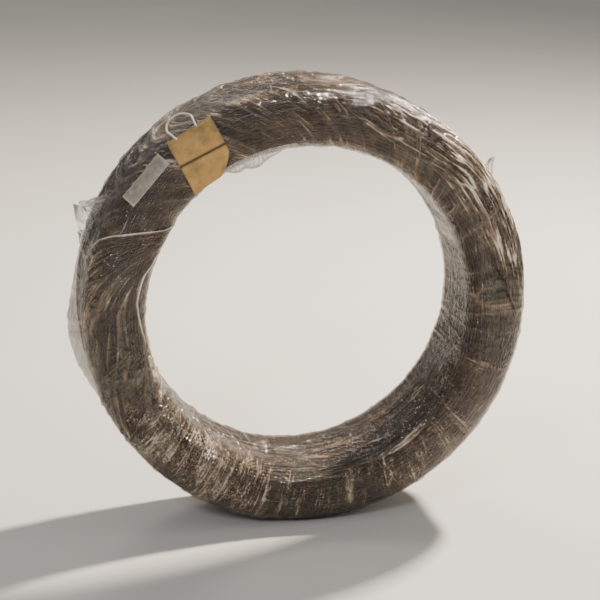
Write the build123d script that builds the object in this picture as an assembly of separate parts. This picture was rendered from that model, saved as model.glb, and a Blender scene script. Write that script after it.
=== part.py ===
from build123d import *
import math
import os

# A coil of steel wire rod, wound with rounded shoulders and wrapped in clear stretch film.
# It stands on its rim: +Z is up, the eye runs along Y and the tagged end faces -Y.
# The origin is the middle of the rim's lowest line. Lengths are in millimetres, angles in degrees.
# The ring is drawn with its axis along Z and its tagged end up, and is stood on its rim at the end.

# Wound rod: the eye inside the winding, its radial build, its width and its rounded edges
ROD_DIA = 5.5
COIL_INNER_DIA = 453.0
COIL_BUILD = 82.0
COIL_WIDTH = 172.0
SHOULDER_RADIUS = 34.0
SHOULDER_LAYS = 3
TURNS_PER_END = 4
TURN_RELIEF = 1.4

# Stretch film, drawn through the eye and round the ring in many laps with air between them
FILM_CLEARANCE = 0.3
FILM_BUILD = 1.2
PLEATS = 44

# Card tag, bent over the middle of the front end and clipped at one lower corner
TAG_BEARING = 125.0
TAG_WIDTH = 68.0
TAG_LENGTH = 92.0
TAG_CLIP_WIDTH = 26.0
TAG_CLIP_HEIGHT = 38.0
TAG_THICKNESS = 0.8
TAG_CLEARANCE = 0.3

# Bare label on the front outer shoulder, next to the tag
LABEL_TAG_GAP = 1.0
LABEL_LENGTH = 74.0
LABEL_WIDTH = 22.0
LABEL_TURN = 50.0
LABEL_THICKNESS = 0.5
LABEL_CLEARANCE = 0.3

# String of the tag: it leaves the tag's top, loops over the rim and comes back
STRING_DIA = 2.4
STRING_SIDES = 4
STRING_CLEARANCE = 0.3
STRING_SLACK = 1.1
STRING_FOOT = 6.0
STRING_REACH = 44.0
STRING_HALF_SPREAD = 20.0

COIL_OUTER_RADIUS = COIL_INNER_DIA / 2 + COIL_BUILD
OUTER_CENTRE = COIL_OUTER_RADIUS - SHOULDER_RADIUS
INNER_CENTRE = COIL_INNER_DIA / 2 + SHOULDER_RADIUS
CENTRE_HEIGHT = COIL_WIDTH / 2 - SHOULDER_RADIUS
FILM_GROWTH = FILM_CLEARANCE + FILM_BUILD
FILM_OUTER_RADIUS = COIL_OUTER_RADIUS + FILM_GROWTH
FILM_SHOULDER = SHOULDER_RADIUS + FILM_GROWTH
TAG_TURN = (TAG_LENGTH - (OUTER_CENTRE - INNER_CENTRE)) / 2 / FILM_SHOULDER


def shoulder(centre_radius, radius, start):
    """Points of one quarter round in straight lays, as (radius, height), from the start angle on."""
    angles = [math.radians(start + 90 * lay / SHOULDER_LAYS) for lay in range(SHOULDER_LAYS + 1)]
    return [(centre_radius + radius * math.cos(a), CENTRE_HEIGHT + radius * math.sin(a)) for a in angles]


def front_outline(growth):
    """Outline of the section's front half, moved outward by growth, from the rim to the eye."""
    radius = SHOULDER_RADIUS + growth
    return shoulder(OUTER_CENTRE, radius, 0) + shoulder(INNER_CENTRE, radius, 90)


def crest_height(at_radius):
    """Height of the winding's front outline at one radius."""
    points = front_outline(0)
    for (r0, h0), (r1, h1) in zip(points, points[1:]):
        if r1 <= at_radius <= r0 and r1 < r0:
            return h0 + (h1 - h0) * (r0 - at_radius) / (r0 - r1)
    raise ValueError("the radius is off the front end")


def section(points):
    """A face across the ring from (radius, height) points."""
    return make_face(Polyline(*[(r, 0, h) for r, h in points], close=True))


def mirrored(front):
    """The closed outline of a section whose back half is like its front half."""
    return front + [(r, -h) for r, h in reversed(front)]


def turned_end():
    """Points across one end: each turn of rod is a crest on the outline between two valleys."""
    first_valley = (OUTER_CENTRE + INNER_CENTRE) / 2 + TURNS_PER_END * ROD_DIA / 2
    points = [(first_valley, crest_height(first_valley) - TURN_RELIEF)]
    for turn in range(TURNS_PER_END):
        crest = first_valley - (turn + 0.5) * ROD_DIA
        valley = first_valley - (turn + 1) * ROD_DIA
        points.append((crest, crest_height(crest)))
        points.append((valley, crest_height(valley) - TURN_RELIEF))
    return points


def wire_coil():
    """The wound rod as one turned solid, with turns standing out on both of its ends."""
    end = turned_end()
    outline = front_outline(0)
    rim_side = [p for p in outline if p[0] > end[0][0]]
    eye_side = [p for p in outline if p[0] < end[-1][0]]
    return revolve(section(mirrored(rim_side + end + eye_side)), axis=Axis.Z)


def pleated_hollow():
    """The film's inner side, which lies on the rod in flats from pleat to pleat."""
    half = math.pi / PLEATS
    middle = (OUTER_CENTRE + INNER_CENTRE) / 2
    flat = [(r if r > middle else r * math.cos(half), h) for r, h in front_outline(FILM_CLEARANCE)]
    reach = 2 * FILM_OUTER_RADIUS
    corner = (reach * math.cos(half), reach * math.sin(half))
    wedge = extrude(make_face(Polyline((0, 0), corner, (corner[0], -corner[1]), close=True)), COIL_WIDTH, both=True)
    pleat = wedge & extrude(section(mirrored(flat)), 2 * FILM_OUTER_RADIUS * math.sin(half), both=True)
    first, *rest = [Rot(0, 0, 360 * k / PLEATS) * pleat for k in range(PLEATS)]
    return first.fuse(*rest)


def film_wrap():
    """The film as one closed skin all round the coil, smooth outside and pleated inside."""
    skin = revolve(section(mirrored(front_outline(FILM_GROWTH))), axis=Axis.Z)
    return skin - pleated_hollow()


def laid_on_front(plan, bearing, clearance, thickness):
    """A thin piece bent over the film's front, cut to a plan outline of (radius, across) points."""
    low = front_outline(FILM_GROWTH + clearance)
    high = front_outline(FILM_GROWTH + clearance + thickness)
    skin = revolve(section(low + high[::-1]), axis=Axis.Z)
    prism = extrude(make_face(Polyline(*plan, close=True)), COIL_WIDTH)
    return skin & Rot(0, 0, bearing) * prism


def paper_tag():
    """The card tag, square at its top and clipped at the foot on the side of the coil's top."""
    left, right = TAG_WIDTH / 2, -TAG_WIDTH / 2
    top = OUTER_CENTRE + FILM_SHOULDER * math.sin(TAG_TURN)
    foot = INNER_CENTRE - FILM_SHOULDER * math.sin(TAG_TURN)
    clip = [(foot + TAG_CLIP_HEIGHT, right), (foot, right + TAG_CLIP_WIDTH)]
    plan = [(top, left), (top, right), *clip, (foot, left)]
    return laid_on_front(plan, TAG_BEARING, TAG_CLEARANCE, TAG_THICKNESS)


def rim_label():
    """The bare label, bent over the outer shoulder next to the tag's straight side."""
    half_turn = LABEL_WIDTH / 2 / FILM_SHOULDER
    top = OUTER_CENTRE + FILM_SHOULDER * math.cos(math.radians(LABEL_TURN) - half_turn)
    foot = OUTER_CENTRE + FILM_SHOULDER * math.cos(math.radians(LABEL_TURN) + half_turn)
    half = LABEL_LENGTH / 2
    plan = [(top, half), (top, -half), (foot, -half), (foot, half)]
    tag_side = math.degrees(math.atan2(TAG_WIDTH / 2, foot))
    own_side = math.degrees(math.atan2(half + LABEL_TAG_GAP, foot))
    return laid_on_front(plan, TAG_BEARING + tag_side + own_side, LABEL_CLEARANCE, LABEL_THICKNESS)


def over_the_rim(across, run, lift):
    """A point above the film: run counts back along the crown, and below zero down the shoulder."""
    bearing = math.radians(TAG_BEARING) + across / FILM_OUTER_RADIUS
    angle = max(-run, 0) / FILM_SHOULDER
    radius = OUTER_CENTRE + (FILM_SHOULDER + lift) * math.cos(angle)
    height = CENTRE_HEIGHT + (FILM_SHOULDER + lift) * math.sin(angle) - max(run, 0)
    return (radius * math.cos(bearing), radius * math.sin(bearing), height)


def bend_radii(points):
    """The largest radius that each corner of a route allows."""
    radii = []
    for before, corner, after in zip(points, points[1:], points[2:]):
        run_in = Vector(*corner) - Vector(*before)
        run_out = Vector(*after) - Vector(*corner)
        turn = math.radians(run_in.get_angle(run_out))
        radii.append(0.45 * min(run_in.length, run_out.length) / math.tan(turn / 2))
    print("string radii", [round(r, 1) for r in radii])
    return radii


def tag_string():
    """The string as a thin tube, pulled straight over the tag's top and lying on the crown behind."""
    tag_top = -FILM_SHOULDER * (math.pi / 2 - TAG_TURN)
    on_film = STRING_DIA / 2 + STRING_CLEARANCE
    on_tag = on_film + TAG_CLEARANCE + TAG_THICKNESS + STRING_SLACK
    side = [
        (0.8, tag_top - STRING_FOOT, on_tag),
        (0.9, -0.1 * STRING_REACH, on_tag),
        (1.0, 0.5 * STRING_REACH, on_film),
    ]
    top = [(0.6, 0.9 * STRING_REACH, on_film), (-0.4, STRING_REACH, on_film)]
    loop = side + top + [(-share, run, lift) for share, run, lift in reversed(side)]
    points = [over_the_rim(share * STRING_HALF_SPREAD, run, lift) for share, run, lift in loop]
    path = FilletPolyline(*points, radius=bend_radii(points))
    start = Plane(origin=path @ 0, z_dir=path % 0)
    return sweep(start * RegularPolygon(STRING_DIA / 2, STRING_SIDES), path=path)


os.makedirs("parts", exist_ok=True)
standing = Pos(0, 0, FILM_OUTER_RADIUS) * Rot(90, 0, 0)
for make in (wire_coil, film_wrap, paper_tag, rim_label, tag_string):
    export_step(standing * make(), f"parts/{make.__name__}.step")
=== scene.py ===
import bpy
import numpy as np
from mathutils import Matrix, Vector


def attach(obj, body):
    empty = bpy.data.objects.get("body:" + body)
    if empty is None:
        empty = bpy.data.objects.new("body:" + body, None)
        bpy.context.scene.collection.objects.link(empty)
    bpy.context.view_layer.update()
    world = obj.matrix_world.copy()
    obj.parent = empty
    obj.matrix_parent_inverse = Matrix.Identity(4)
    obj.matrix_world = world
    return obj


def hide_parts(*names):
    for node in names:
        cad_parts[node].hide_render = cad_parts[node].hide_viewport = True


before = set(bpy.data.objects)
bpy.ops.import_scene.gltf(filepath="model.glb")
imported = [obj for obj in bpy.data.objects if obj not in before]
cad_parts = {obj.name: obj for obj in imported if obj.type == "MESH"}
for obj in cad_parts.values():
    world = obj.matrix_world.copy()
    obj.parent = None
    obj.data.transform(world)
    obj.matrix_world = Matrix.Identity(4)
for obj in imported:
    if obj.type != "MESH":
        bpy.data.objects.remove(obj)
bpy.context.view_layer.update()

# Camera, floor and light
# The coil stands on its rim on a pale floor and is seen from in front of its tagged end, a little
# from above and from the left. The main lamp is small and stands above, behind and to the right.
MM = 0.001
EYE_CENTRE = Vector((0.0, 0.0, 0.310))
AIM = (0.0, 0.0, 0.305)


def facing(name, data, place, target):
    """An object at a place whose own -Z axis points at the target."""
    made = bpy.data.objects.new(name, data)
    made.location = place
    made.rotation_mode = "QUATERNION"
    made.rotation_quaternion = (Vector(target) - Vector(place)).to_track_quat("-Z", "Y")
    bpy.context.scene.collection.objects.link(made)
    return made


def seen_from(azimuth, elevation, distance):
    """A place at a distance from the eye's centre; azimuth 0 is in front and grows to the right."""
    a, e = np.radians(azimuth), np.radians(elevation)
    way = Vector((np.sin(a) * np.cos(e), -np.cos(a) * np.cos(e), np.sin(e)))
    return EYE_CENTRE + way * distance


camera_data = bpy.data.cameras.new("camera")
camera_data.lens = 124.0
camera_data.sensor_width = 36.0
camera_data.clip_end = 100.0
camera = facing("camera", camera_data, seen_from(azimuth=-12.0, elevation=15.5, distance=2.9), AIM)
bpy.context.scene.camera = camera


def node(tree, kind, inputs=None, **settings):
    """Adds a node to a tree; an input that is given another node's output is linked to it."""
    made = tree.nodes.new(kind)
    for name, value in settings.items():
        setattr(made, name, value)
    for name, value in (inputs or {}).items():
        if isinstance(value, bpy.types.NodeSocket):
            tree.links.new(value, made.inputs[name])
        else:
            made.inputs[name].default_value = value
    return made


def linear(code):
    """An sRGB hex colour as linear red, green, blue and alpha."""
    srgb = np.array([int(code[i:i + 2], 16) for i in (1, 3, 5)]) / 255
    rgb = np.where(srgb <= 0.04045, srgb / 12.92, ((srgb + 0.055) / 1.055) ** 2.4)
    return (*rgb, 1.0)


def new_material(name):
    """An empty material, its node tree and its output node."""
    material = bpy.data.materials.new(name)
    material.use_nodes = True
    material.node_tree.nodes.clear()
    return material, material.node_tree, material.node_tree.nodes.new("ShaderNodeOutputMaterial")


FLOOR_REACH = 40.0
floor_mesh = bpy.data.meshes.new("floor")
corners = [(x * FLOOR_REACH, y * FLOOR_REACH, 0.0) for x, y in ((-1, -1), (1, -1), (1, 1), (-1, 1))]
floor_mesh.from_pydata(corners, [], [(0, 1, 2, 3)])
floor = bpy.data.objects.new("floor", floor_mesh)
bpy.context.scene.collection.objects.link(floor)
# Painted concrete: matt, with a faint cloudiness some 600 mm across
floor_paint, tree, output = new_material("painted_concrete")
place = node(tree, "ShaderNodeTexCoord").outputs["Object"]
cloud = node(tree, "ShaderNodeTexNoise", {"Vector": place, "Scale": 1000.0 / 625.0, "Detail": 4.0})
tone = node(tree, "ShaderNodeValToRGB", {"Fac": cloud.outputs[0]})
tone.color_ramp.elements[0].color = linear("#CCC8C1")
tone.color_ramp.elements[1].color = linear("#D8D4CD")
paint = node(tree, "ShaderNodeBsdfPrincipled", {"Base Color": tone.outputs[0], "Roughness": 0.75})
tree.links.new(paint.outputs[0], output.inputs[0])
floor.data.materials.append(floor_paint)

world = bpy.data.worlds.new("studio")
world.use_nodes = True
world.node_tree.nodes["Background"].inputs["Color"].default_value = linear("#DAD9D6")
world.node_tree.nodes["Background"].inputs["Strength"].default_value = 0.5
bpy.context.scene.world = world


def lamp(name, place, size, power, colour):
    """A square lamp of a size in metres and a power in watts, aimed at the coil."""
    data = bpy.data.lights.new(name, "AREA")
    data.size = size
    data.energy = power
    data.color = linear(colour)[:3]
    facing(name, data, place, EYE_CENTRE)


lamp("key", (1.7, 1.2, 2.5), 0.28, 320.0, "#FFF1E0")
lamp("front", (-1.6, -2.6, 2.2), 0.7, 42.0, "#E9EEFA")
lamp("right", (3.0, -0.6, 1.2), 1.4, 16.0, "#FFF6EC")
lamp("back", (-0.4, 2.6, 2.5), 0.8, 22.0, "#FFF6EC")


# Wound rod
# One length of hot rolled steel rod, 5.5 mm thick, laid turn beside turn round the ring's section.
# Its turns wander, and a few ride over the others. Everything is held by the film alone.

# The section over the film, in millimetres: its half width, its largest radius, the radius of its
# rounded shoulders, and how far from the eye's axis the outer and the inner shoulders' centres lie
RING_HALF_WIDTH = 87.5
RIM_RADIUS = 310.0
SHOULDER = 35.5
OUTER_CENTRE = RIM_RADIUS - SHOULDER
INNER_CENTRE = 260.5
CENTRE_HEIGHT = RING_HALF_WIDTH - SHOULDER
QUARTER = SHOULDER * np.pi / 2
END_FLAT = OUTER_CENTRE - INNER_CENTRE
# The way round it: half the crown, the front end, the eye, the rear end and the other half of the crown.
# Each step ends at a centre's radius and height, with the section's normal turned by so much.
END_STEPS = [QUARTER, END_FLAT, QUARTER]
STEPS = [CENTRE_HEIGHT, *END_STEPS, 2 * CENTRE_HEIGHT, *END_STEPS, CENTRE_HEIGHT]
RUN = np.concatenate([[0.0], np.cumsum(STEPS)])
GIRTH = RUN[-1]
RUN_RADIUS = np.array([1, 1, 1, 0, 0, 0, 0, 1, 1, 1]) * END_FLAT + INNER_CENTRE
RUN_HEIGHT = np.array([0, 1, 1, 1, 1, -1, -1, -1, -1, 0]) * CENTRE_HEIGHT
RUN_TURN = np.array([0, 0, 1, 1, 2, 2, 3, 3, 4, 4]) * np.pi / 2


def on_ring(bearing, share, growth):
    """Points on the coil in metres, from millimetres and angles.

    The section is a rounded rectangle: share 0 is the middle of its crown, 0.25 the front end, 0.5 the
    eye and 0.75 the rear end. Growth moves a point out along the section's normal. The bearing turns the
    section round the eye's axis, anticlockwise from the right as seen from the front.
    """
    run = np.mod(share, 1.0) * GIRTH
    turn = np.interp(run, RUN, RUN_TURN)
    radius = np.interp(run, RUN, RUN_RADIUS) + (SHOULDER + growth) * np.cos(turn)
    height = np.interp(run, RUN, RUN_HEIGHT) + (SHOULDER + growth) * np.sin(turn)
    across, up = radius * np.cos(bearing), RIM_RADIUS + radius * np.sin(bearing)
    return np.stack([across, -height, np.maximum(up, 0.0)], axis=-1) * MM


def wave(bearing, counts, sizes, phases):
    """A sum of sines round the ring, each with its count of periods, size and phase."""
    return sum(size * np.sin(count * bearing + phase) for count, size, phase in zip(counts, sizes, phases))


SHARP_EDGE = np.radians(75.0)


def skin(name, points, along=True):
    """A closed mesh over a grid of points (along, around, 3) with its faces pointing outwards.

    Quads join each row to the next, and the last point of a row to its first. With along, the last row
    joins the first; without it a ladder of quads across each end row closes the mesh. The sign of the
    volume under the quads, the sum of their corners' products, tells which way round they go.
    """
    rows, cols = points.shape[:2]
    index = np.arange(rows * cols).reshape(rows, cols)
    here = index if along else index[:-1]
    ahead = np.roll(index, -1, axis=0) if along else index[1:]
    beside, beside_ahead = np.roll(here, -1, axis=1), np.roll(ahead, -1, axis=1)
    quads = [np.stack([here, beside, beside_ahead, ahead], axis=-1).reshape(-1, 4)]
    if not along:
        left, right = np.arange(cols // 2 - 1), cols - 1 - np.arange(cols // 2 - 1)
        ladder = np.stack([left, right, right - 1, left + 1], axis=-1)
        quads += [index[0][ladder], index[-1][ladder[:, ::-1]]]
    faces = np.concatenate(quads)
    a, b, c, d = points.reshape(-1, 3)[faces].transpose(1, 0, 2)
    volume = np.sum(a * np.cross(b, c)) + np.sum(a * np.cross(c, d))
    if volume < 0:
        faces = faces[:, ::-1]
    mesh = bpy.data.meshes.new(name)
    mesh.vertices.add(rows * cols)
    mesh.vertices.foreach_set("co", points.reshape(-1).astype(np.float32))
    mesh.loops.add(faces.size)
    mesh.loops.foreach_set("vertex_index", faces.reshape(-1).astype(np.int32))
    mesh.polygons.add(len(faces))
    mesh.polygons.foreach_set("loop_start", np.arange(len(faces), dtype=np.int32) * 4)
    mesh.update(calc_edges=True)
    mesh.validate()
    mesh.shade_smooth()
    if not along:
        mesh.set_sharp_from_angle(angle=SHARP_EDGE)
    made = bpy.data.objects.new(name, mesh)
    bpy.context.scene.collection.objects.link(made)
    return made


def carry(piece, material, slot, *nodes):
    """Gives a piece its material and its body, and hides the solids it stands for. The slot is not used."""
    piece.data.materials.append(material)
    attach(piece, "root")
    if nodes:
        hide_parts(*nodes)


ROD = 5.5
TURNS = 80
ROD_SIDES = 6
ROD_CUTS = 190
# The rod's middle lies this deep under the film, and rises by so much where it rides over a turn.
ROD_DEPTH = -4.9
ROD_RISE = 1.6
# Every seventh of a turn the rod may come up or go down; a third of these places stand out.
ROD_STEP = 1 / 7
PROUD_PART = 0.34
PROUD_SEED = 11
# It also sways along the section and in depth, by so many millimetres and in so many waves a turn.
SIDE_SWAY, SIDE_RATE = 0.5, 0.37
DEPTH_SWAY, DEPTH_RATE = 0.3, 0.61


def rod_drift(bearing):
    """How far the turns wander along the section round the ring, in millimetres."""
    return wave(bearing, counts=(1, 2, 3, 5), sizes=(2.2, 1.6, 1.0, 0.5), phases=(0.4, 2.1, 4.0, 1.3))


def ease(t):
    """A smooth rise from 0 to 1 as t does: three times t squared, less twice t cubed."""
    return t * t * (3 - 2 * t)


def proud(count):
    """How far the rod stands out of its layer, from 0 to 1, at a count of turns from its start."""
    place = np.clip(count, 0, TURNS) / ROD_STEP
    draws = np.random.default_rng(PROUD_SEED).random(int(TURNS / ROD_STEP) + 3)
    knots = np.clip((draws - (1 - PROUD_PART)) / PROUD_PART, 0, 1)
    index = np.floor(place).astype(int)
    share = ease(place - index)
    return knots[index] * (1 - share) + knots[index + 1] * share


count = np.linspace(0.0, TURNS, TURNS * ROD_CUTS + 1)[:, None]
side = np.arange(ROD_SIDES) * 2 * np.pi / ROD_SIDES
angle = 2 * np.pi * count
lay = count / TURNS + (rod_drift(angle) + SIDE_SWAY * np.sin(SIDE_RATE * angle)) / GIRTH
depth = ROD_DEPTH + ROD_RISE * proud(count) + DEPTH_SWAY * np.sin(DEPTH_RATE * angle)
winding = on_ring(angle, lay + ROD / 2 * np.sin(side) / GIRTH, depth + ROD / 2 * np.cos(side))
rod_turns = skin("rod_turns", winding, along=False)

# Hot rolled steel: brown-black mill scale in patches 45 mm across, lighter where turns have rubbed, and
# grit 1.1 mm across, coarser than the real grit so that it shows
rod_steel, tree, output = new_material("rolled_steel_scale")
place = node(tree, "ShaderNodeTexCoord").outputs["Object"]
scale_noise = node(tree, "ShaderNodeTexNoise", {
    "Vector": place, "Scale": 1000.0 / 45.0, "Detail": 6.0, "Roughness": 0.62})
scale_tone = node(tree, "ShaderNodeValToRGB", {"Fac": scale_noise.outputs[0]})
ramp = scale_tone.color_ramp
ramp.elements[0].position, ramp.elements[0].color = 0.34, linear("#26221D")
ramp.elements[1].position, ramp.elements[1].color = 0.66, linear("#5C4A38")
middle = ramp.elements.new(0.5)
middle.color = linear("#3C342B")
grit = node(tree, "ShaderNodeTexNoise", {"Vector": place, "Scale": 1000.0 / 1.1, "Detail": 2.0})
bump = node(tree, "ShaderNodeBump", {"Height": grit.outputs[0], "Strength": 0.25, "Distance": 0.0004})
shade = node(tree, "ShaderNodeBsdfPrincipled", {
    "Base Color": scale_tone.outputs[0], "Metallic": 0.75, "Roughness": 0.42, "Normal": bump.outputs[0]})
tree.links.new(shade.outputs[0], output.inputs[0])
carry(rod_turns, rod_steel, "rod_steel", "wire_coil")


# Stretch film
# Clear polyethylene film, drawn through the eye and round the section in many overlapping laps. It
# gathers into pleats and crinkles, tight over the turns that stand out and slack between them.
LAPS = 24
# Its families of folds: cells of noise round the ring and round the section, seed and sharpness.
PLEATS = (150, 11, 1, 3.0)
SMALL_PLEATS = (230, 24, 2, 2.5)
CROSSED_FOLDS = (110, 9, 3, 5.0)
STRAIGHT_FOLDS = (66, 4, 4, 7.0)
CRINKLES = (190, 60, 6, 2.0)
# In millimetres: the film's level between the turns, its rise over a turn that stands out and the reach
# of that rise, its sag in broad patches, and the height of each family of folds.
FILM_REST = -1.3
ROD_RELIEF = 1.3
ROD_REACH = 5.0
SLACK = 0.6
PLEAT_HEIGHT = 0.9
SMALL_HEIGHT = 0.4
CROSSED_HEIGHT = 0.4
STRAIGHT_HEIGHT = 1.2
CRINKLE_HEIGHT = 0.15
# A lap's edge is this high in millimetres, and white over this share of the lap.
LAP_STEP = 0.5
LAP_EDGE = 0.03
# The film's highest level, and how far the card and the string press it down from there.
HIGHEST = 3.0
PRESSED = 3.1


def noise(u, v, cells_u, cells_v, seed):
    """Smooth random values from 0 to 1 that repeat after one unit of u and one of v.

    A lattice of random values has so many cells in one unit, and values between its points are eased.
    """
    lattice = np.random.default_rng(seed).random((cells_u, cells_v))
    x, y = u * cells_u, v * cells_v
    i, j = np.floor(x).astype(int), np.floor(y).astype(int)
    p, q = ease(x - i), ease(y - j)
    i0, i1, j0, j1 = i % cells_u, (i + 1) % cells_u, j % cells_v, (j + 1) % cells_v
    near = lattice[i0, j0] * (1 - p) + lattice[i1, j0] * p
    far = lattice[i0, j1] * (1 - p) + lattice[i1, j1] * p
    return near * (1 - q) + far * q


def creases(u, v, cells_u, cells_v, seed, sharp):
    """Noise folded at its middle value into thin ridges: 1 on a crease, 0 away from it."""
    return (1 - np.abs(2 * noise(u, v, cells_u, cells_v, seed) - 1)) ** sharp


def window(bearing, middle, half, edge=18.0):
    """1 within half degrees of a middle bearing, and a smooth fall to 0 over the edge.

    Bearings in degrees are 0 at the right, 90 at the top, 180 at the left and 270 at the bottom.
    """
    off = np.abs((np.degrees(bearing) - middle + 180) % 360 - 180)
    return ease(np.clip((half + edge - off) / edge, 0, 1))


def hump(x, middle, half):
    """A smooth hump of height 1 at the middle that reaches 0 at half to each side."""
    return ease(np.clip(1 - np.abs(x - middle) / half, 0, 1))


def over_rods(bearing, share, reach):
    """1 over a turn that stands out, falling off with the distance along the section over the reach."""
    at = share * TURNS - bearing / (2 * np.pi) - rod_drift(bearing) / GIRTH * TURNS
    nearest = np.floor(at + 0.5)
    lift = np.zeros(at.shape)
    for turn in (nearest - 1, nearest, nearest + 1):
        gap = (at - turn) * GIRTH / TURNS
        height = proud(np.mod(turn + bearing / (2 * np.pi), TURNS))
        lift = np.maximum(lift, height * np.exp(-(gap / reach) ** 2))
    return lift


def swing(share):
    """0 on the crown, 0.5 on both ends and 1 in the eye."""
    return 0.5 - 0.5 * np.cos(2 * np.pi * share)


# The pleats' slant from the crown into the eye, in radians: its mean, its change round the ring and the
# bearing where it is most, and the slant of the folds that cross them the other way.
MEAN_SLANT = 0.20
SLANT_CHANGE = 0.32
MOST_SLANT = np.radians(112.0)
CROSSED_SLANT = 0.30
ROUNDS = 8


def pleat_slant(bearing):
    """How far, in radians, a pleat moves clockwise on its way from the crown into the eye."""
    return MEAN_SLANT + SLANT_CHANGE * np.cos(bearing - MOST_SLANT)


def along_pleats(phase, share):
    """The bearing at which the pleat that starts at a phase on the crown has come to each share.

    The slant depends on the bearing itself, so the sum is repeated until it settles.
    """
    bearing = phase + 0 * share
    for _ in range(ROUNDS):
        bearing = phase - pleat_slant(bearing) * swing(share)
    return bearing


def film_shape(bearing, share):
    """Growth of the film in millimetres and its haze from 0 to 1, at bearings and shares.

    The film rests on the turns that stand out and dips between them. Folded noise along the pleats,
    across them and along the rim gives its creases, each family strongest on its own part of the coil.
    The tag, the label and the string press it flat, and each lap ends in an edge half a millimetre high.
    The haze is the whitening of gathered folds and of the laps' edges, in patches, and of crushed film, plus
    painted light at the front's lower left.
    """
    turned = bearing / (2 * np.pi)
    phase = (bearing + pleat_slant(bearing) * swing(share)) / (2 * np.pi)
    across = (bearing - CROSSED_SLANT * swing(share)) / (2 * np.pi)
    pleats = creases(phase, share, *PLEATS)
    small = creases(phase + 0.004 * swing(share), share, *SMALL_PLEATS)
    crossed = creases(across, share, *CROSSED_FOLDS)
    straight = creases(phase, share, *STRAIGHT_FOLDS)
    crinkle = creases(turned, share, *CRINKLES)
    broad = noise(turned, share, 26, 7, seed=7)
    patch = noise(turned, share, 44, 13, seed=8)
    lap = (LAPS * turned + share + 0.12 * noise(turned, share, 30, 9, seed=9)) % 1.0
    right = window(bearing, middle=-5, half=22)
    low = window(bearing, middle=265, half=65)
    left = window(bearing, middle=178, half=32)
    crown = (1 - swing(share)) * window(bearing, middle=95, half=50)
    growth = (
        FILM_REST + ROD_RELIEF * over_rods(bearing, share, ROD_REACH) - SLACK * broad
        + PLEAT_HEIGHT * (1 + crown) * pleats + SMALL_HEIGHT * small
        + CROSSED_HEIGHT * (1 + 1.5 * left) * crossed + STRAIGHT_HEIGHT * straight
        + (CRINKLE_HEIGHT + 0.5 * right + 0.45 * low) * crinkle + LAP_STEP * (1 - lap)
    )
    from_eye = (share + 0.5) % 1.0
    under_card = window(bearing, middle=129, half=20, edge=6) * hump(from_eye, 0.68, 0.30)
    under_string = window(bearing, middle=123, half=7, edge=5) * hump(from_eye, 0.56, 0.14)
    pressed = np.maximum(under_card, under_string) * 1.6
    growth = np.minimum(growth, HIGHEST - PRESSED * np.clip(pressed, 0, 1))
    gathered = (0.10 + 0.18 * crown ** 2) * pleats + (0.04 + 0.2 * left) * crossed + 0.30 * straight
    # Painted light: a patch at the lower left of the front is made whiter to stand for light falling there
    painted_light_low_left = 0.13 * window(bearing, middle=222, half=20) * hump(share, 0.26, 0.24)
    crushed = painted_light_low_left + 0.08 * low * crinkle
    haze = (gathered + 0.16 * np.exp(-lap / LAP_EDGE)) * (0.4 + 0.9 * patch) + crushed * (0.5 + patch)
    return growth, haze


def mark(piece, name, values):
    """Stores a number or a vector for each vertex, in the order of the piece's grid."""
    vector = values.ndim == 3
    layer = piece.data.attributes.new(name, "FLOAT_VECTOR" if vector else "FLOAT", "POINT")
    layer.data.foreach_set("vector" if vector else "value", values.reshape(-1).astype(np.float32))


def film_place(bearing, share):
    """The place of film points among the pleats, across them and along them, in metres.

    Each is a point on a circle, one round the coil and one round the section, so that a pattern on
    them has no seam.
    """
    phase = bearing + pleat_slant(bearing) * swing(share)
    turn = 2 * np.pi * share + 0 * bearing
    ring, girth = RIM_RADIUS * MM, GIRTH * MM / (2 * np.pi)
    round_coil = ring * np.cos(phase), ring * np.sin(phase)
    round_section = girth * np.sin(turn), girth * np.cos(turn)
    return np.stack([*round_coil, *round_section], axis=-1)


def mark_film(piece, haze, place, layers, streaks, crumple):
    """Gives film its haze, the place that its creases follow, and how thick, streaked and crushed it is."""
    mark(piece, "haze", np.clip(haze, 0, 1))
    mark(piece, "layers", layers)
    mark(piece, "streaks", streaks)
    mark(piece, "crumple", crumple)
    mark(piece, "pleat", place[..., :3])
    mark(piece, "pleat_turn", place[..., 3])


FILM_CUTS = 900
FILM_ROWS = 110
# At the left, just behind the crown's middle, slack film stands off by up to this many millimetres.
SLACK_DEPTH = 17.0
cuts = (np.arange(FILM_CUTS) * 2 * np.pi / FILM_CUTS)[:, None]
share = (np.arange(FILM_ROWS) / FILM_ROWS)[None, :]
bearing = along_pleats(cuts, share)
growth, haze = film_shape(bearing, share)
loose_side = hump(np.degrees(bearing), 187, 24) * hump((share + 0.5) % 1.0, 0.47, 0.14)
film_skin = skin("film_skin", on_ring(bearing, share, growth + SLACK_DEPTH * loose_side))
# The film is streaked at the top and, on the front side, at the lower left and the bottom right, and it is
# crushed there from the lower left round to the lower right. At the lower left the extra streaks and crushing
# are partly painted light: they whiten that part as light falling there would.
front_side = hump(share, 0.26, 0.26)
streaked = 0.30 + 0.50 * window(bearing, middle=78, half=48, edge=30) + front_side * (
    0.60 * window(bearing, middle=215, half=25, edge=25)
    + 0.34 * window(bearing, middle=290, half=38, edge=20))
crumpled = 0.20 + front_side * (
    0.70 * window(bearing, middle=245, half=45, edge=25)
    + 0.45 * window(bearing, middle=224, half=18, edge=20)
    + 0.35 * window(bearing, middle=325, half=20, edge=20))
mark_film(film_skin, haze, film_place(bearing, share), np.ones(bearing.shape), streaked, crumpled)
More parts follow.
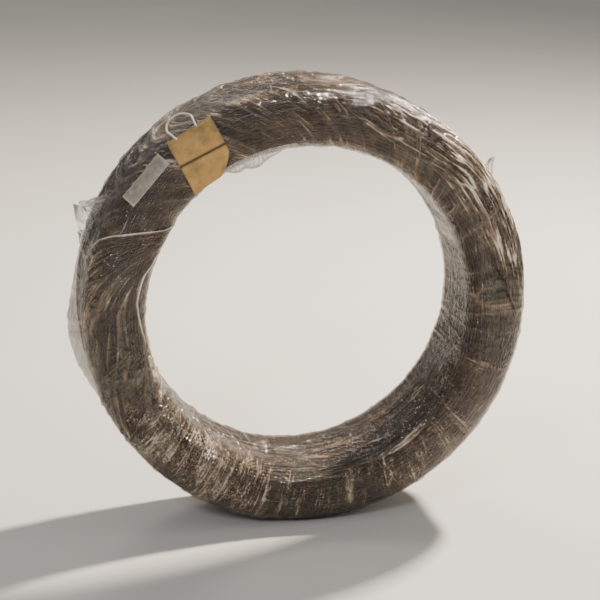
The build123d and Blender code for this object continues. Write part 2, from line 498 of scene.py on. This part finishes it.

# Stretch film: thin, clear and glossy, white where it is gathered, and painted lighter at the lower left to
# stand for light falling there. Its creases are stretched out along the pleats, and its crushed patches are
# bent about by some millimetres.
CREASE_STRETCH = 0.11
WARP = (0.012, 0.012, 0.012)
WHITENING = 0.56
stretch_film, tree, output = new_material("stretch_film")
# The haze attribute holds the film's whitening and, at the front's lower left, painted light
haze_and_painted_light_mark = node(tree, "ShaderNodeAttribute", attribute_name="haze").outputs["Fac"]
layers_mark = node(tree, "ShaderNodeAttribute", attribute_name="layers").outputs["Fac"]
streak_mark = node(tree, "ShaderNodeAttribute", attribute_name="streaks").outputs["Fac"]
crumple_mark = node(tree, "ShaderNodeAttribute", attribute_name="crumple").outputs["Fac"]
pleat = node(tree, "ShaderNodeAttribute", attribute_name="pleat").outputs["Vector"]
pleat_turn = node(tree, "ShaderNodeAttribute", attribute_name="pleat_turn").outputs["Fac"]
thin = node(tree, "ShaderNodeVectorMath", {0: pleat, 1: (1.0, 1.0, CREASE_STRETCH)}, operation="MULTIPLY")
thin_turn = node(tree, "ShaderNodeMath", {0: pleat_turn, 1: CREASE_STRETCH}, operation="MULTIPLY")


def crest(value, sharp):
    """Folds a 0 to 1 pattern at its middle into thin bright lines."""
    folded = node(tree, "ShaderNodeMath", {0: value, 1: 0.5}, operation="PINGPONG")
    doubled = node(tree, "ShaderNodeMath", {0: folded.outputs[0], 1: 2.0}, operation="MULTIPLY")
    return node(tree, "ShaderNodeMath", {0: doubled.outputs[0], 1: sharp}, operation="POWER").outputs[0]


# Creases 8 mm and 3.5 mm apart and nine times as long, and crushed film with creases every 5 mm
waves = [node(tree, "ShaderNodeTexNoise", {
    "Vector": thin.outputs[0], "W": thin_turn.outputs[0], "Scale": 1000.0 / size_mm, "Detail": detail},
    noise_dimensions="4D").outputs[0] for size_mm, detail in ((8.0, 1.5), (3.5, 1.0))]
wide_creases, fine_creases = crest(waves[0], 18.0), crest(waves[1], 14.0)
place = node(tree, "ShaderNodeTexCoord").outputs["Object"]
warp = node(tree, "ShaderNodeTexNoise", {"Vector": place, "Scale": 1000.0 / 12.0, "Detail": 2.0})
warped = node(tree, "ShaderNodeVectorMath", {
    0: warp.outputs[1], 1: WARP, 2: place}, operation="MULTIPLY_ADD")
flats = node(tree, "ShaderNodeTexVoronoi", {
    "Vector": warped.outputs[0], "Scale": 1000.0 / 9.0}, feature="DISTANCE_TO_EDGE")
crushed = node(tree, "ShaderNodeTexNoise", {
    "Vector": warped.outputs[0], "Scale": 1000.0 / 5.0, "Detail": 2.0})
crushed_crest = node(tree, "ShaderNodeMath", {
    0: crest(crushed.outputs[0], 20.0), 1: crumple_mark}, operation="MULTIPLY")
# The whitening comes and goes in clouds 30 mm across
clouds = node(tree, "ShaderNodeTexNoise", {"Vector": place, "Scale": 1000.0 / 30.0, "Detail": 2.0})
cloud = node(tree, "ShaderNodeMapRange", {
    "Value": clouds.outputs[0], "From Min": 0.35, "From Max": 0.65, "To Min": 0.5, "To Max": 1.0})
lines = node(tree, "ShaderNodeMath", {0: fine_creases, 1: 0.45, 2: wide_creases}, operation="MULTIPLY_ADD")
relief = node(tree, "ShaderNodeMath", {
    0: lines.outputs[0], 1: streak_mark, 2: crushed_crest.outputs[0]}, operation="MULTIPLY_ADD")
gathered = node(tree, "ShaderNodeMath", {0: relief.outputs[0], 1: cloud.outputs[0]}, operation="MULTIPLY")
whiteness = node(tree, "ShaderNodeMath", {
    0: gathered.outputs[0], 1: WHITENING, 2: haze_and_painted_light_mark}, operation="MULTIPLY_ADD")
tone = node(tree, "ShaderNodeValToRGB", {"Fac": whiteness.outputs[0]})
ramp = tone.color_ramp
ramp.elements[0].position, ramp.elements[0].color = 0.0, linear("#281F17")
ramp.elements[1].position, ramp.elements[1].color = 1.0, linear("#F4E7D4")
for position, colour in ((0.25, "#4C3D2E"), (0.55, "#8C765C")):
    ramp.elements.new(position).color = linear(colour)
# One sheet is clear and faintly milky; the whole wrap hides half of the steel and takes its brown. The
# two colours of a Mix node are its inputs 6 and 7.
several = node(tree, "ShaderNodeMapRange", {"Value": layers_mark, "From Max": 0.25})
film_tone = node(tree, "ShaderNodeMix", {
    0: several.outputs[0], 6: linear("#CBC6BE"), 7: tone.outputs[0]}, data_type="RGBA")
clearest = node(tree, "ShaderNodeMapRange", {"Value": layers_mark, "To Min": 0.05, "To Max": 0.50})
body = node(tree, "ShaderNodeMapRange", {
    "Value": whiteness.outputs[0], "From Max": 0.7, "To Min": clearest.outputs[0], "To Max": 0.94})
# Between the creases, flats 9 mm across slope their own ways and catch the light one by one
facet_share = node(tree, "ShaderNodeMath", {0: crumple_mark, 1: 8.0, 2: 1.0}, operation="MULTIPLY_ADD")
swollen = node(tree, "ShaderNodeMath", {0: waves[0], 1: 3.0, 2: relief.outputs[0]}, operation="MULTIPLY_ADD")
height = node(tree, "ShaderNodeMath", {
    0: flats.outputs[0], 1: facet_share.outputs[0], 2: swollen.outputs[0]}, operation="MULTIPLY_ADD")
bump = node(tree, "ShaderNodeBump", {"Height": height.outputs[0], "Strength": 1.0, "Distance": 0.0009})
shade = node(tree, "ShaderNodeBsdfPrincipled", {
    "Base Color": film_tone.outputs[2], "Roughness": 0.08, "IOR": 1.52, "Specular IOR Level": 1.0,
    "Alpha": body.outputs[0], "Normal": bump.outputs[0]})
tree.links.new(shade.outputs[0], output.inputs[0])
carry(film_skin, stretch_film, "stretch_film", "film_wrap")


# Loose laps of film
# The last laps of the same film, not pulled tight: one drawn nearly along the rim at the upper right, one
# stretched over the front end at the left, and torn edges that hang into the eye and stand off the rim.

# A sheet's thickness, more than the real film's 0.02 mm, and a lap's height over the film
FILM_SHEET = 0.15
LAP_GAP = 0.35
# How many layers a lap, the torn edge and a scrap count as, where 1 is the whole wrap
LAP_LAYERS = 0.25
EDGE_LAYERS = 0.06
SCRAP_LAYERS = 0.0
# How streaked a sheet is on top of its layers, and how crushed
SHEET_STREAKS = 0.15
SHEET_CRUMPLE = 0.2


def both_sides(values):
    """The same grid of values for the upper and the lower side of a sheet or card."""
    return np.concatenate([values, values[:, ::-1]], axis=1)


def sheet(name, low, high, haze, place, layers):
    """A closed thin sheet between two grids of points that share their edges' outline."""
    made = skin(name, np.concatenate([high, low[:, ::-1]], axis=1), along=False)
    flat = 0 * haze
    marks = haze, place, layers + flat, SHEET_STREAKS + layers + flat, SHEET_CRUMPLE + flat
    mark_film(made, *[both_sides(values) for values in marks])
    carry(made, stretch_film, "stretch_film", "film_wrap")


def laid_lap(name, bearing, share, lift, haze, across, along):
    """A sheet laid on the film, lifted above it in millimetres, with streaks along its own pleats.

    Across and along place the streaks on it, across the pleats and along them, in millimetres.
    """
    growth = film_shape(bearing, share)[0] + LAP_GAP + lift
    place = np.stack([across, 0 * across, along, 0 * across], axis=-1) * MM
    low, high = on_ring(bearing, share, growth), on_ring(bearing, share, growth + FILM_SHEET)
    sheet(name, low, high, haze, place, LAP_LAYERS)


def edges(u, v, width):
    """1 on the edges of a unit square, falling to 0 over a width inside them."""
    nearest = np.minimum(np.minimum(u, 1 - u), np.minimum(v, 1 - v))
    return np.exp(-(nearest / width) ** 2)


# Each lap runs along u and is as wide as v: it has its bearing in degrees, its share of the section and
# a fan of folds along it, with waves that keep its edges from being straight. Its haze is a faint veil,
# its folds and its edges. Noise and creases take their cells both ways, a seed and a sharpness.

# Upper right: from bearing 79 down to 1, over the front outer shoulder, narrower towards its ends
u, v = np.meshgrid(np.linspace(0, 1, 240), np.linspace(0, 1, 90), indexing="ij")
lap_bearing = np.radians(79 - 78 * u + 6 * np.sin(7 * v))
reach = np.clip(np.sin(np.pi * (0.06 + 0.88 * u)), 0, 1) ** 0.5
lap_share = 0.155 + (v - 0.5) * 0.27 * reach + 0.012 * np.sin(9 * u) + 0.03 * (u - 0.5)
fan = v * 22 + 3.0 * u + 0.7 * noise(u, v, 7, 4, 21)
folds = creases(fan / 44, u, 58, 7, 22, 5.0)
small_folds = creases(fan / 44 + 0.01 * u, u, 90, 12, 23, 3.0)
# The folds' whitening, strongest across the lap's middle, is partly painted highlight along the upper right
# shoulder
lap_side = 0.25 + 0.75 * hump(v, 0.55, 0.62)
lap_end = hump(u, 0.45, 0.62) ** 0.5
lap_lift = (1.8 * folds + 0.5 * small_folds) * (1 - edges(u, v, 0.03))
lap_haze = (
    0.02 + (1.25 * folds * (0.3 + 1.1 * noise(u, v, 9, 6, 24)) + 0.45 * small_folds) * lap_side * lap_end
    + 0.22 * edges(u, v, 0.012)
)
laid_lap("film_lap_right", lap_bearing, lap_share, lap_lift, lap_haze, fan * 4.0, u * 470)

# Left: over the front end from the crown into the eye, with folds that fan out from its foot there
u, v = np.meshgrid(np.linspace(0, 1, 170), np.linspace(0, 1, 80), indexing="ij")
lap_bearing = np.radians(164 - 20 * v + (50 + 14 * v + 4 * np.sin(7 * v) + 2 * np.sin(17 * v)) * u)
lap_share = 0.05 + (0.335 - 0.06 * np.clip(u / 0.3, 0, 1) + 0.015 * np.sin(11 * u)) * v
from_foot = np.stack([(lap_bearing - np.radians(144)) * OUTER_CENTRE, (1.02 - v) * 150.0])
fan = np.arctan2(from_foot[0], from_foot[1]) * 20 + 0.5 * noise(u, v, 6, 5, 31)
far = np.hypot(*from_foot)
folds = creases(fan / 52, far / 400, 52, 4, 32, 5.0)
small_folds = creases(fan / 52, far / 400, 110, 9, 33, 3.0)
lap_lift = 1.4 * folds * (1 - edges(u, v, 0.04)) + 0.8 * edges(u, v, 0.02)
lap_haze = (
    0.02 + 0.35 * folds + 0.2 * small_folds
    + (0.6 - 0.45 * u) * np.clip(v / 0.45, 0.15, 1) * edges(u, v, 0.012)
    + 0.8 * np.exp(-((1 - v) / 0.025) ** 2) * noise(u, v, 14, 2, 34)
)
laid_lap("film_lap_left", lap_bearing, lap_share, lap_lift, lap_haze, fan * 6.0, far)

# In the eye: along its bottom, from bearing 258 up the right side to 334
u, v = np.meshgrid(np.linspace(0, 1, 170), np.linspace(0, 1, 70), indexing="ij")
lap_bearing = np.radians(258 + 76 * u + 4 * np.sin(6 * v))
reach = np.clip(np.sin(np.pi * (0.05 + 0.9 * u)), 0, 1) ** 0.5
lap_share = 0.44 + (v - 0.5) * 0.26 * reach - 0.05 * (u - 0.5)
fan = v * 20 - 5.0 * u + 0.8 * noise(u, v, 6, 4, 71)
folds = creases(fan / 40, u, 40, 4, 72, 4.0)
lap_lift = 1.4 * folds * (1 - edges(u, v, 0.04))
lap_haze = 0.02 + 0.5 * folds * (0.3 + 0.9 * noise(u, v, 7, 5, 73)) + 0.2 * edges(u, v, 0.015)
laid_lap("film_lap_eye", lap_bearing, lap_share, lap_lift, lap_haze, fan * 5.0, u * 330)

# Torn edge: it hangs up to 15 mm from the front inner shoulder into the eye, from bearing 122 to 95, in
# one long sag with small scallops and a wavy hem that is whiter than the rest
TORN_DROP = 15.0
TORN_LENGTH = 125.0
u, v = np.meshgrid(np.linspace(0, 1, 90), np.linspace(0, 1, 14), indexing="ij")
hang_bearing = np.radians(122 - 27 * u)
scallops = np.sin(np.pi * np.clip(1.25 * u - 0.05, 0, 1)) * (0.75 + 0.25 * np.abs(np.sin(9 * u)))
hem = on_ring(hang_bearing, 0.322 + 0.02 * v, 0.5 + 0 * u)
hem[..., 2] -= TORN_DROP * scallops * v * MM
hem[..., 1] += (2.5 * np.sin(23 * u) * v - 3 * v) * MM
back = hem + np.array([0.0, FILM_SHEET, 0.0]) * MM
hem_haze = 0.12 + 0.75 * np.exp(-((1 - v) / 0.12) ** 2) + 0.3 * creases(u, v, 30, 2, 41, 3.0)
hem_place = np.stack([u * TORN_LENGTH, 0 * u, v * TORN_DROP, 0 * u], axis=-1) * MM
sheet("film_torn_edge", back, hem, hem_haze, hem_place, EDGE_LAYERS)

# Scraps: how deep their feet sink into the wrap and how far they fold to and fro, in millimetres
TUFT_SINK = 1.5
TUFT_ZIGZAG = 1.8


def tuft(name, bearing, share, width, length, lean, taper, seed):
    """A folded scrap of film that stands off the rim.

    Its foot is a width long and sinks a little into the wrap. From there it narrows almost to a point,
    the later the higher its taper, leans over to one side and folds in a zigzag. The bearing is in
    degrees, and the width, the length and the lean are in millimetres.
    """
    u, v = np.meshgrid(np.linspace(0, 1, 20), np.linspace(0, 1, 41), indexing="ij")
    foot = (v - 0.5 + 0.10 * np.sin(9 * u + seed) * u) * width * (1 - 0.92 * u ** taper)
    at = np.radians(bearing) + (foot + lean * u ** 1.4) / RIM_RADIUS
    folded = np.sin(v * 23 + seed + 2 * u) * np.sin(np.pi * np.clip(u + 0.15, 0, 1))
    zigzag = TUFT_ZIGZAG * folded / GIRTH
    rise = -TUFT_SINK + length * u * (0.5 + 0.5 * noise(0 * v, v, 1, 6, seed))
    front = on_ring(at, share + zigzag, rise)
    rear = on_ring(at, share + zigzag + FILM_SHEET / GIRTH, rise)
    haze = 0.03 + 0.4 * creases(0.3 * u, v, 5, 16, seed, 4.0) + 0.25 * u ** 6
    sheet(name, rear, front, haze, np.stack([foot, 0 * u, length * u, 0 * u], axis=-1) * MM, SCRAP_LAYERS)


# Name, bearing, share, width, length, lean, taper and seed of each scrap
for scrap in (
    ("film_tuft_right", 33.0, 0.05, 30.0, 26.0, 14.0, 0.8, 51),
    ("film_tuft_left_1", 157.0, 0.97, 64.0, 38.0, -12.0, 1.7, 52),
    ("film_tuft_left_2", 163.0, 0.94, 40.0, 17.0, -8.0, 1.5, 53),
    ("film_tuft_left_3", 152.0, 0.99, 30.0, 26.0, 10.0, 1.4, 55),
    ("film_tuft_left_4", 206.0, 0.97, 36.0, 11.0, 8.0, 1.6, 54),
):
    tuft(*scrap)


# Card tag
# A piece of yellow-brown card, 68 by 92 mm, folded across and bent over the front end of the coil. One
# lower corner is cut off. It lies on the film and hangs from a string that loops over the rim.
TAG_BEARING = np.radians(125.0)
TAG_WIDTH = 68.0
TAG_LENGTH = 92.0
TAG_TURN = (TAG_LENGTH - END_FLAT) / 2 / SHOULDER
TAG_TILT = np.radians(8.0)
TAG_CLIP_WIDTH = 26.0
TAG_CLIP_HEIGHT = 38.0
TAG_THICKNESS = 0.8
# The crease lies at this share of the tag's length and is slightly askew. A band of painted shade this wide,
# as a share of the length, darkens it. The tag rests this high over the film, both halves bow off it, and the
# top and the foot curl up, in millimetres.
FOLD = 0.455
FOLD_SKEW = 0.012
CREASE_SHADE_WIDTH = 0.024
TAG_REST = 0.35
TOP_BOW, FOOT_BOW = 1.5, 1.1
TOP_CURL, FOOT_CURL = 1.0, 1.344
FRONT_SHARES = np.linspace(0.12, 0.38, 400)


def front_radius(share):
    """The distance from the eye's axis, in millimetres, of the film at a share on the front."""
    return on_ring(0.0, share, 0.5)[..., 0] / MM


def front_card(name, middle, top, foot, left, right, lift, cuts, rows, thickness, tilt=0.0):
    """A closed card bent over the front end, whose sides are straight in the front view.

    Its rows run along the section from the top radius to the foot radius, and its columns from the left
    to the right edge, all in millimetres. The tilt turns it clockwise about the middle of its foot. The
    lift is its height above the film, on the same grid.
    """
    radii = front_radius(FRONT_SHARES)
    share = np.interp(-np.array([top, foot]), -radii, FRONT_SHARES)
    rise = (share[1] - share[0]) * GIRTH * (1 - rows)
    flat = left + (right - left) * cuts
    side = flat * np.cos(tilt) - rise * np.sin(tilt)
    climb = rise * np.cos(tilt) + flat * np.sin(tilt)
    down = np.interp(share[1] - climb / GIRTH, FRONT_SHARES, radii)
    radius, turn = np.hypot(down, side), middle + np.arctan2(side, down)
    at = np.interp(-radius, -radii, FRONT_SHARES)
    high, low = on_ring(turn, at, lift + thickness), on_ring(turn, at, lift)
    return skin(name, np.concatenate([high, low[:, ::-1]], axis=1), along=False)


u, v = np.meshgrid(np.linspace(0, 1, 49), np.linspace(0, 1, 65), indexing="ij")
tag_top = OUTER_CENTRE + SHOULDER * np.sin(TAG_TURN)
tag_foot = INNER_CENTRE - SHOULDER * np.sin(TAG_TURN)
clip_start = 1 - TAG_CLIP_HEIGHT / TAG_LENGTH
clipped = np.clip((v - clip_start) * TAG_LENGTH / TAG_CLIP_HEIGHT, 0, 1) * TAG_CLIP_WIDTH
crease_line = FOLD + FOLD_SKEW * (u - 0.5)
fold_gap = np.abs(v - crease_line)
tag_lift = (
    TAG_REST + TOP_BOW * np.sin(np.pi * np.clip(v / FOLD, 0, 1)) ** 0.7 * (v < crease_line)
    + FOOT_BOW * np.sin(np.pi * np.clip((v - FOLD) / (1 - FOLD), 0, 1)) ** 0.8 * (v >= crease_line)
    + TOP_CURL * np.clip(1 - v / 0.10, 0, 1) * (u - 0.3) ** 2
    + FOOT_CURL * np.clip((v - 0.86) / 0.14, 0, 1) * (0.3 + (u - 0.5) ** 2)
)
paper_tag = front_card(
    "card_tag", TAG_BEARING, tag_top, tag_foot, TAG_WIDTH / 2, -TAG_WIDTH / 2 + clipped,
    tag_lift, u, v, TAG_THICKNESS, TAG_TILT)
# The crease attribute holds painted shade along the fold
mark(paper_tag, "crease", both_sides(np.exp(-(fold_gap / CREASE_SHADE_WIDTH) ** 2)))
mark(paper_tag, "rim", both_sides(edges(u, v, 0.02)))

# Uncoated card: matt and fibrous, soiled in cloudy patches, grey along its edges, with painted shade in its
# crease
tag_card, tree, output = new_material("uncoated_card")
place = node(tree, "ShaderNodeTexCoord").outputs["Object"]
crease_shade_mark = node(tree, "ShaderNodeAttribute", attribute_name="crease").outputs["Fac"]
rim_mark = node(tree, "ShaderNodeAttribute", attribute_name="rim").outputs["Fac"]
# Fibres some 0.9 mm long and soiling in patches of 16 mm
fibre = node(tree, "ShaderNodeTexNoise", {"Vector": place, "Scale": 1000.0 / 0.9, "Detail": 3.0})
soil = node(tree, "ShaderNodeTexNoise", {
    "Vector": place, "Scale": 1000.0 / 16.0, "Detail": 5.0, "Roughness": 0.65})
tone = node(tree, "ShaderNodeValToRGB", {"Fac": soil.outputs[0]})
ramp = tone.color_ramp
ramp.elements[0].position, ramp.elements[0].color = 0.30, linear("#8E7A4A")
ramp.elements[1].position, ramp.elements[1].color = 0.70, linear("#CDA463")
middle = ramp.elements.new(0.5)
middle.color = linear("#BC9353")
speck = node(tree, "ShaderNodeMapRange", {
    "Value": fibre.outputs[0], "From Min": 0.3, "From Max": 0.7, "To Min": 0.82, "To Max": 1.08})
fibred = node(tree, "ShaderNodeVectorMath", {
    0: tone.outputs[0], "Scale": speck.outputs[0]}, operation="SCALE")
worn = node(tree, "ShaderNodeMix", {
    0: rim_mark, 6: fibred.outputs[0], 7: linear("#7C6B4A")}, data_type="RGBA")
# Painted shade: the crease is coloured dark where the fold's shadow falls
folded = node(tree, "ShaderNodeMix", {
    0: crease_shade_mark, 6: worn.outputs[2], 7: linear("#1F1913")}, data_type="RGBA")
bump = node(tree, "ShaderNodeBump", {"Height": fibre.outputs[0], "Strength": 0.3, "Distance": 0.0006})
shade = node(tree, "ShaderNodeBsdfPrincipled", {
    "Base Color": folded.outputs[2], "Roughness": 0.72, "Normal": bump.outputs[0]})
tree.links.new(shade.outputs[0], output.inputs[0])
carry(paper_tag, tag_card, "tag_card", "paper_tag")


# Bare label
# A warm grey strip of coated paper, 74 by 22 mm, stuck on the film over the front outer shoulder next to
# the tag. It is bare, and the end away from the tag has come loose.
LABEL_LENGTH = 74.0
LABEL_WIDTH = 22.0
LABEL_TURN = np.radians(50.0)
LABEL_THICKNESS = 0.5
LABEL_TAG_GAP = 1.0
# Its height over the film, its ripples and the curl of its far end, in millimetres
LABEL_REST = 0.30
LABEL_RIPPLE = 0.45
LABEL_CURL = 0.96
half_turn = LABEL_WIDTH / 2 / SHOULDER
label_top = OUTER_CENTRE + SHOULDER * np.cos(LABEL_TURN - half_turn)
label_foot = OUTER_CENTRE + SHOULDER * np.cos(LABEL_TURN + half_turn)
tag_side = np.arctan2(TAG_WIDTH / 2, label_foot)
label_side = np.arctan2(LABEL_LENGTH / 2 + LABEL_TAG_GAP, label_foot)
u, v = np.meshgrid(np.linspace(0, 1, 61), np.linspace(0, 1, 17), indexing="ij")
label_lift = LABEL_REST + LABEL_RIPPLE * noise(u, v, 9, 2, 61) + LABEL_CURL * np.clip(1 - u / 0.1, 0, 1) * v
rim_label = front_card(
    "bare_label", TAG_BEARING + tag_side + label_side, label_top, label_foot,
    LABEL_LENGTH / 2, -LABEL_LENGTH / 2, label_lift, u, v, LABEL_THICKNESS)
mark(rim_label, "rim", both_sides(edges(u, v, 0.04)))

# Coated paper: smooth with a dull shine, dusty in patches of 10 mm and paler along its edges
label_paper, tree, output = new_material("coated_paper")
place = node(tree, "ShaderNodeTexCoord").outputs["Object"]
rim_mark = node(tree, "ShaderNodeAttribute", attribute_name="rim").outputs["Fac"]
dust = node(tree, "ShaderNodeTexNoise", {
    "Vector": place, "Scale": 1000.0 / 10.5, "Detail": 5.0, "Roughness": 0.7})
tone = node(tree, "ShaderNodeValToRGB", {"Fac": dust.outputs[0]})
tone.color_ramp.elements[0].position, tone.color_ramp.elements[0].color = 0.32, linear("#6E695C")
tone.color_ramp.elements[1].position, tone.color_ramp.elements[1].color = 0.68, linear("#A79F8D")
worn = node(tree, "ShaderNodeMix", {
    0: rim_mark, 6: tone.outputs[0], 7: linear("#B7AE9C")}, data_type="RGBA")
gloss = node(tree, "ShaderNodeMapRange", {"Value": dust.outputs[0], "To Min": 0.30, "To Max": 0.62})
bump = node(tree, "ShaderNodeBump", {"Height": dust.outputs[0], "Strength": 0.35, "Distance": 0.001})
shade = node(tree, "ShaderNodeBsdfPrincipled", {
    "Base Color": worn.outputs[2], "Roughness": gloss.outputs[0], "Normal": bump.outputs[0]})
tree.links.new(shade.outputs[0], output.inputs[0])
carry(rim_label, label_paper, "label_paper", "rim_label")


# Tag string
# White two-strand cotton twine, some 2.4 mm thick and up to 3.1 mm across where both strands lie side by
# side. It leaves the tag's top twice, is pulled over the rim and lies on the crown behind it as a loop.
STRING_DIA = 2.4
STRING_REACH = 44.0
STRING_HALF_SPREAD = 20.0
STRING_FOOT = 6.0
# The loop is moved clockwise, as the tilted tag's top is, and its far end rises off the film.
STRING_SHIFT = -7.0
STRING_RISE = 6.0
# The string's gap to the film, the card's gap to the film and the string's slack over the card
STRING_GAP = 0.6
CARD_GAP = 0.3
STRING_SLACK = 1.1
on_film = STRING_DIA / 2 + STRING_GAP
on_tag = on_film + CARD_GAP + TAG_THICKNESS + STRING_SLACK
tag_edge = -SHOULDER * (np.pi / 2 - TAG_TURN)
# The route's points: the share of the half spread, the run back along the crown and the lift
string_side = [
    (0.8, tag_edge - STRING_FOOT, on_tag),
    (0.9, -0.1 * STRING_REACH, on_tag),
    (1.0, 0.5 * STRING_REACH, on_film),
]
loop_end = [(0.6, 0.9 * STRING_REACH, on_film + STRING_RISE), (-0.4, STRING_REACH, on_film + STRING_RISE)]
other_side = [(-spread, run, lift) for spread, run, lift in reversed(string_side)]
string_route = np.array(string_side + loop_end + other_side)
string_bearing = TAG_BEARING + (string_route[:, 0] * STRING_HALF_SPREAD + STRING_SHIFT) / RIM_RADIUS
string_share = -(string_route[:, 1] - CENTRE_HEIGHT) / GIRTH
string_points = on_ring(string_bearing, string_share, string_route[:, 2])

string_curve = bpy.data.curves.new("string_line", "CURVE")
string_curve.dimensions = "3D"
spline = string_curve.splines.new("NURBS")
spline.points.add(len(string_points) - 1)
weighted = np.concatenate([string_points, np.ones((len(string_points), 1))], axis=1)
spline.points.foreach_set("co", weighted.reshape(-1))
spline.order_u = 3
spline.use_endpoint_u = True
spline.resolution_u = 24
string_line = bpy.data.objects.new("string_line", string_curve)
line_mesh = bpy.data.meshes.new_from_object(string_line)
line = np.zeros(len(line_mesh.vertices) * 3)
line_mesh.vertices.foreach_get("co", line)
line = line.reshape(-1, 3)
bpy.data.meshes.remove(line_mesh)
bpy.data.objects.remove(string_line)
bpy.data.curves.remove(string_curve)


# Two strands, each 1.62 mm thick, twisted round each other once every 9 mm
STRAND_OFFSET = 0.75
STRAND_RADIUS = 0.81
STRING_LAY = 9.0
STRAND_SIDES = 8


def twisted(line, strands, offset, radius, lay, sides):
    """Rings of points round each strand of a twisted line: the strands wind round it once every lay."""
    ahead = np.gradient(line, axis=0)
    ahead /= np.linalg.norm(ahead, axis=1)[:, None]
    beside = np.cross(ahead, (0.0, 0.0, 1.0))
    beside /= np.linalg.norm(beside, axis=1)[:, None]
    over = np.cross(beside, ahead)
    run = np.concatenate([[0.0], np.cumsum(np.linalg.norm(np.diff(line, axis=0), axis=1))]) / MM
    around = np.arange(sides) * 2 * np.pi / sides
    for strand in range(strands):
        angle = 2 * np.pi * (run / lay + strand / strands)
        middle = line + offset * MM * (np.cos(angle)[:, None] * beside + np.sin(angle)[:, None] * over)
        ring = np.cos(around)[None, :, None] * beside[:, None] + np.sin(around)[None, :, None] * over[:, None]
        yield middle[:, None] + radius * MM * ring


# Cotton twine: soft and matt, off-white, with lint and soiling in specks of 1.4 mm
cotton, tree, output = new_material("cotton_twine")
place = node(tree, "ShaderNodeTexCoord").outputs["Object"]
lint = node(tree, "ShaderNodeTexNoise", {"Vector": place, "Scale": 1000.0 / 1.4, "Detail": 4.0})
tone = node(tree, "ShaderNodeValToRGB", {"Fac": lint.outputs[0]})
tone.color_ramp.elements[0].color = linear("#A79C8A")
tone.color_ramp.elements[1].color = linear("#F1ECE0")
bump = node(tree, "ShaderNodeBump", {"Height": lint.outputs[0], "Strength": 0.6, "Distance": 0.0005})
shade = node(tree, "ShaderNodeBsdfPrincipled", {
    "Base Color": tone.outputs[0], "Roughness": 0.85, "Sheen Weight": 0.3, "Normal": bump.outputs[0]})
tree.links.new(shade.outputs[0], output.inputs[0])
strands = twisted(line, 2, STRAND_OFFSET, STRAND_RADIUS, STRING_LAY, STRAND_SIDES)
for number, rings in enumerate(strands, 1):
    strand = skin(f"string_strand_{number}", rings, along=False)
    carry(strand, cotton, "string", "tag_string")
